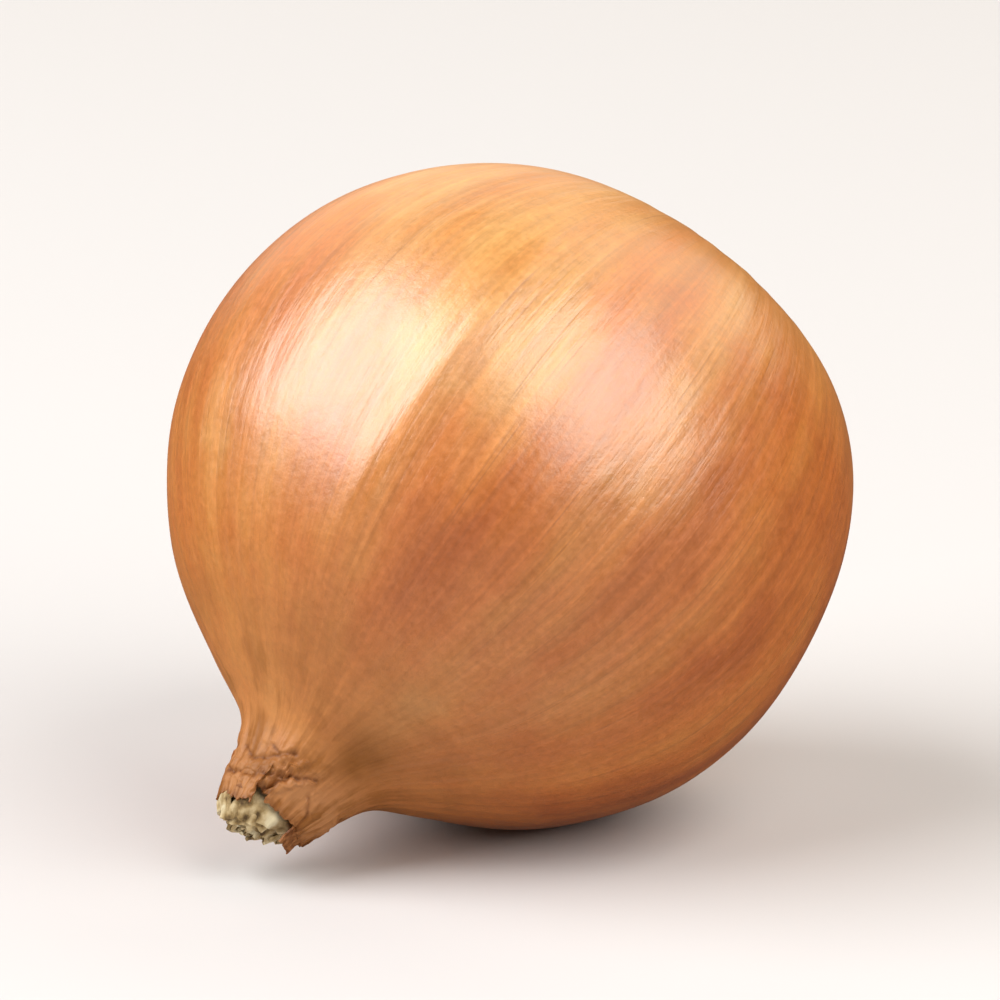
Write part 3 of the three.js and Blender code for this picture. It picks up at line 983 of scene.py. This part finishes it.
# %% Veins and creases
showing = add(
    skin,
    "ShaderNodeMapRange",
    {FROM_LOW: 0.5, FROM_HIGH: 0.64, TO_LOW: 0.0, TO_HIGH: 1.0},
    {0: patterns["vein_breaks"]},
)
showing = add(skin, "ShaderNodeMath", {"operation": "MULTIPLY"}, {0: showing, 1: plainness})
relief_of_veins = []
for name, width, strength, brown in [
    ("fine_veins", 0.02, 0.3, "#9c541c"),
    ("veins", 0.009, 0.38, "#8c4812"),
]:
    crossing = add(skin, "ShaderNodeMath", {"operation": "SUBTRACT", 1: 0.5}, {0: patterns[name]})
    crossing = add(skin, "ShaderNodeMath", {"operation": "ABSOLUTE"}, {0: crossing})
    vein = add(
        skin,
        "ShaderNodeMapRange",
        {FROM_LOW: 0.0, FROM_HIGH: width, TO_LOW: strength, TO_HIGH: 0},
        {0: crossing},
    )
    vein = add(skin, "ShaderNodeMath", {"operation": "MULTIPLY"}, {0: vein, 1: showing})
    relief_of_veins.append(vein)
    colour = add(
        skin,
        "ShaderNodeMix",
        {"data_type": "RGBA", MIX_B: linear(brown)},
        {MIX_FACTOR: vein, MIX_A: colour},
    ).outputs[MIX_RESULT]
vein = add(skin, "ShaderNodeMath", {"operation": "ADD"}, dict(enumerate(relief_of_veins)))
broken = add(
    skin,
    "ShaderNodeMapRange",
    {FROM_LOW: 0.35, FROM_HIGH: 0.6, TO_LOW: 1.1, TO_HIGH: 0.5},
    {0: speckle},
)
# The brown of torn edges, and the stain and painted shade of the creases.
crease = add(skin, "ShaderNodeMath", {"operation": "MULTIPLY"}, {0: marked.outputs["X"], 1: broken})
colour = add(
    skin,
    "ShaderNodeMix",
    {"data_type": "RGBA", MIX_B: linear("#66340a")},
    {MIX_FACTOR: crease, MIX_A: colour},
).outputs[MIX_RESULT]
print(len(relief_of_veins), "kinds of vein")

# %% [markdown]
# The fibres stand out by a few hundredths of a millimetre and the veins lie a little lower. Wide,
# shallow dents make the highlights waver. Waxed paper has a strong but soft gloss, a little
# rougher in some spots than in others. On the neck the skin has dried dull, so a second, matte
# shader takes over there.

# %% Relief and gloss
FIBRE_RELIEF = 0.04
DENT_RELIEF = 0.25
VEIN_DEPTH = 0.35
height = add(
    skin,
    "ShaderNodeMath",
    {"operation": "ADD"},
    {0: patterns["fibres"], 1: patterns["mottle"]},
)
height = add(
    skin,
    "ShaderNodeMath",
    {"operation": "MULTIPLY_ADD", 1: -VEIN_DEPTH},
    {0: vein, 2: height},
)
height = add(skin, "ShaderNodeMath", {"operation": "MULTIPLY"}, {0: height, 1: plainness})
height = add(skin, "ShaderNodeMath", {"operation": "ADD"}, {0: height, 1: speckle})
bump = add(
    skin,
    "ShaderNodeBump",
    {"Strength": 1.0, "Distance": FIBRE_RELIEF * MM},
    {"Height": height},
)
bump = add(
    skin,
    "ShaderNodeBump",
    {"Strength": 1.0, "Distance": DENT_RELIEF * MM},
    {"Height": patterns["dents"], "Normal": bump},
)
gloss = add(skin, "ShaderNodeMath", {"operation": "ADD"}, {0: speckle, 1: patterns["mottle"]})
gloss = add(
    skin,
    "ShaderNodeMapRange",
    {FROM_LOW: 0.7, FROM_HIGH: 1.3, TO_LOW: 0.32, TO_HIGH: 0.42},
    {0: gloss},
)
glossy_skin = add(
    skin,
    "ShaderNodeBsdfPrincipled",
    {"IOR": 1.8, "Specular IOR Level": 1.0},
    {"Base Color": colour, "Roughness": gloss, "Normal": bump},
)
dull_neck = add(
    skin,
    "ShaderNodeBsdfPrincipled",
    {"IOR": 1.45, "Specular IOR Level": 0.25, "Roughness": 0.65},
    {"Base Color": colour, "Normal": bump},
)
dullness = add(
    skin,
    "ShaderNodeMapRange",
    {FROM_LOW: 0.72, FROM_HIGH: 0.98, TO_LOW: 0.0, TO_HIGH: 0.9},
    {0: along_skin},
)
surface = add(skin, "ShaderNodeMixShader", {}, {0: dullness, 1: glossy_skin, 2: dull_neck})
add(skin, "ShaderNodeOutputMaterial", {}, {"Surface": surface})
print(skin.name + ":", len(skin.node_tree.nodes), "nodes")

# %% [markdown]
# The dried leaf ends are plain dead tissue: matte, straw-coloured, fibrous and mottled, with painted
# shade in their folds. The depth attribute of the rolls tells the colour ramp where the folds are,
# and it also lays out the fibres, which are 2 mm long, six to a millimetre, and broken at each fold.

# %% Dried leaf tissue
straw = new_material("dried_leaf_tissue")
folds = add(straw, "ShaderNodeAttribute", {"attribute_name": "depth"}).outputs["Vector"]
parts = add(straw, "ShaderNodeSeparateXYZ", {}, {0: folds})
place = add(straw, "ShaderNodeTexCoord", {}).outputs["Object"]
DUST_SIZE = 1.6
FOLD_SHADE = 0.22
LEAF_FIBRE_LENGTH = 2
LEAF_FIBRES_PER_MM = 6
BREAKS_IN_A_FOLD = 36
laid = (BREAKS_IN_A_FOLD, LEAF_LENGTH / LEAF_FIBRE_LENGTH, ARC_UNIT * LEAF_FIBRES_PER_MM)
fibres = add(straw, "ShaderNodeMapping", {"Scale": laid}, {0: folds})
fibres = add(
    straw,
    "ShaderNodeTexNoise",
    {"Scale": 1, "Detail": 4, "Roughness": 0.6},
    {"Vector": fibres},
)
dust = {"Scale": 1 / (DUST_SIZE * MM), "Detail": 4}
dust = add(straw, "ShaderNodeTexNoise", dust, {"Vector": place})
# Painted shade: the folds that sink in are darker, and the dust noise mottles the straw.
mixed = add(
    straw,
    "ShaderNodeMath",
    {"operation": "MULTIPLY_ADD", 1: FOLD_SHADE},
    {0: parts.outputs["X"], 2: dust},
)
colour = add(
    straw,
    "ShaderNodeValToRGB",
    {"stops": [(0.28, "#5a452a"), (0.4, "#a08659"), (0.54, "#cbb58a"), (0.72, "#e6d9b4")]},
    {0: mixed},
)
height = add(straw, "ShaderNodeMath", {"operation": "ADD"}, {0: fibres, 1: dust})
bump = add(straw, "ShaderNodeBump", {"Strength": 0.8, "Distance": 0.12 * MM}, {"Height": height})
surface = add(
    straw,
    "ShaderNodeBsdfPrincipled",
    {"Roughness": 0.85, "IOR": 1.4},
    {"Base Color": colour, "Normal": bump},
)
add(straw, "ShaderNodeOutputMaterial", {}, {"Surface": surface})
print(straw.name + ":", len(straw.node_tree.nodes), "nodes")

# %% [markdown]
# The root plate is cork and the roots are dead threads. To the eye both are as dull as bark, with
# uneven browns and no shine at all, so one function makes all three materials from their colours
# and the size of their grain.

# %% Dead root threads and cork


def dull_matter(name, darkest, middle, lightest, grain_mm):
    """A matte, mottled material for cork and dead roots."""
    material = new_material(name)
    place = add(material, "ShaderNodeTexCoord", {}).outputs["Object"]
    size = {"Scale": 1 / (grain_mm * MM), "Detail": 5}
    mottle = add(material, "ShaderNodeTexNoise", size, {"Vector": place})
    colour = add(
        material,
        "ShaderNodeValToRGB",
        {"stops": [(0.34, darkest), (0.52, middle), (0.68, lightest)]},
        {0: mottle},
    )
    rough = {"Strength": 0.9, "Distance": 0.15 * MM}
    bump = add(material, "ShaderNodeBump", rough, {"Height": mottle})
    surface = add(
        material,
        "ShaderNodeBsdfPrincipled",
        {"Roughness": 0.9, "IOR": 1.4},
        {"Base Color": colour, "Normal": bump},
    )
    add(material, "ShaderNodeOutputMaterial", {}, {"Surface": surface})
    return material


dark_thread = dull_matter("dead_root_threads", "#1e1510", "#3e2c20", "#6a5240", 1.1)
pale_thread = dull_matter("pale_root_threads", "#8a6c48", "#c3a273", "#dcc59b", 1.3)
cork = dull_matter("root_plate_cork", "#3d2a1a", "#6e5033", "#9a7850", 0.9)
print("dull materials:", dark_thread.name, pale_thread.name, cork.name)

# %% [markdown]
# Each piece gets its material and its smooth shading, and rides on the one body that the record has.
# Each row also lists a slot of the record, which nothing here reads.

# %% Dress the pieces
FINISHES = [
    (bulb, skin, "dry_skin", 60),
    (sheaths, skin, "dry_skin", 50),
    (scraps, skin, "dry_skin", 50),
    (leaf_ends, straw, "dried_leaf_ends", 50),
    (plate, cork, "dead_roots", 60),
    (dark_roots, dark_thread, "dead_roots", 60),
    (pale_roots, pale_thread, "dead_roots", 60),
]
for piece, material, slot, sharp_above in FINISHES:
    piece.data.materials.clear()
    piece.data.materials.append(material)
    piece.select_set(True)
    bpy.context.view_layer.objects.active = piece
    bpy.ops.object.shade_smooth_by_angle(angle=math.radians(sharp_above))
    piece.select_set(False)
    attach(piece, "root")
print(len(FINISHES), "pieces dressed")

# %% [markdown]
# The onion lies on a plain matte board. It is a slightly cool white, so that it looks neutral in the
# warm light of the lamps, and it is left out of reflections, because it would lay a pale veil over
# the glossy underside.

# %% The floor
bpy.ops.mesh.primitive_plane_add(size=4)
floor = added("floor")
paper_white = new_material("matte_white_board")
surface = {"Base Color": linear("#dcdde1"), "Roughness": 0.9}
surface = add(paper_white, "ShaderNodeBsdfPrincipled", surface)
add(paper_white, "ShaderNodeOutputMaterial", {}, {"Surface": surface})
floor.data.materials.append(paper_white)
floor.visible_glossy = False
print("floor:", floor.name)

# %% [markdown]
# Four softboxes light the onion. The strongest stands high on the left and lays the long highlight
# on that side, and the second stands high in front. Two weak ones, on the right and behind, keep the
# far side from going dark. Large lamps give soft edges to the highlights, as on waxed paper.

# %% The light
TARGET = Vector((BULB_MIDDLE * MM).tolist())


def towards(azimuth, elevation):
    """A direction: azimuth 0 is towards -Y and turns to +X, and elevation is above level."""
    a, e = math.radians(azimuth), math.radians(elevation)
    return Vector((math.sin(a) * math.cos(e), -math.cos(a) * math.cos(e), math.sin(e)))


def softbox(name, azimuth, elevation, distance, size, watts, colour):
    """A square lamp in a direction, at a distance and of a size in metres, facing the onion."""
    bpy.ops.object.light_add(type="AREA", location=TARGET + towards(azimuth, elevation) * distance)
    lamp = bpy.context.object
    lamp.name = name
    lamp.rotation_euler = (-towards(azimuth, elevation)).to_track_quat("-Z", "Y").to_euler()
    lamp.data.size = size
    lamp.data.energy = watts
    lamp.data.color = linear(colour)[:3]
    lamp.visible_camera = False
    lamp.select_set(False)


softbox("softbox_left", -119, 41, 1.5, 1.6, 32.5, "#fffcf8")
softbox("softbox_right", 6, 42, 1.5, 1.35, 19.5, "#fff8ee")
softbox("softbox_far_right", 86, 42, 1.6, 1.3, 8, "#fff0dc")
softbox("softbox_behind", 150, 25, 1.6, 1.25, 5.5, "#fff0dc")
print("lamps:", len(bpy.data.lights))

# %% [markdown]
# The room behind is pale to the camera, and lights the onion only a little. A room as bright as it
# looks would wash out the shadow under the onion, so the Light Path node gives the camera a wall
# of its own. The Standard view transform keeps the colours as they were picked.

# %% The room
world = bpy.data.worlds.new("pale_studio")
world.use_nodes = True
world.node_tree.nodes.clear()
room_light = add(world, "ShaderNodeBackground", {"Color": linear("#fbfaf8"), "Strength": 0.05})
room_wall = add(world, "ShaderNodeBackground", {"Color": linear("#e6e2dc"), "Strength": 1.0})
seen = add(world, "ShaderNodeLightPath", {}).outputs["Is Camera Ray"]
room = add(world, "ShaderNodeMixShader", {}, {0: seen, 1: room_light, 2: room_wall})
add(world, "ShaderNodeOutputWorld", {}, {"Surface": room})
bpy.context.scene.world = world
bpy.context.scene.view_settings.view_transform = "Standard"
print("world:", world.name)

# %% [markdown]
# The camera looks slightly down, along the same line as in the photograph. Its long lens keeps it as
# far off as a real camera would be, so that the near side doesn't swell.

# %% The camera
VIEW_AZIMUTH = -42.0
VIEW_ELEVATION = 15.3
VIEW_DISTANCE = 0.84
LENS_MM = 270
bpy.ops.object.camera_add(location=TARGET + towards(VIEW_AZIMUTH, VIEW_ELEVATION) * VIEW_DISTANCE)
camera = bpy.context.object
camera.name = "camera"
camera.rotation_euler = (-towards(VIEW_AZIMUTH, VIEW_ELEVATION)).to_track_quat("-Z", "Y").to_euler()
camera.data.lens = LENS_MM
camera.data.sensor_width = 36
camera.data.clip_start = 0.01
bpy.context.scene.camera = camera
print("camera lens:", LENS_MM, "mm")
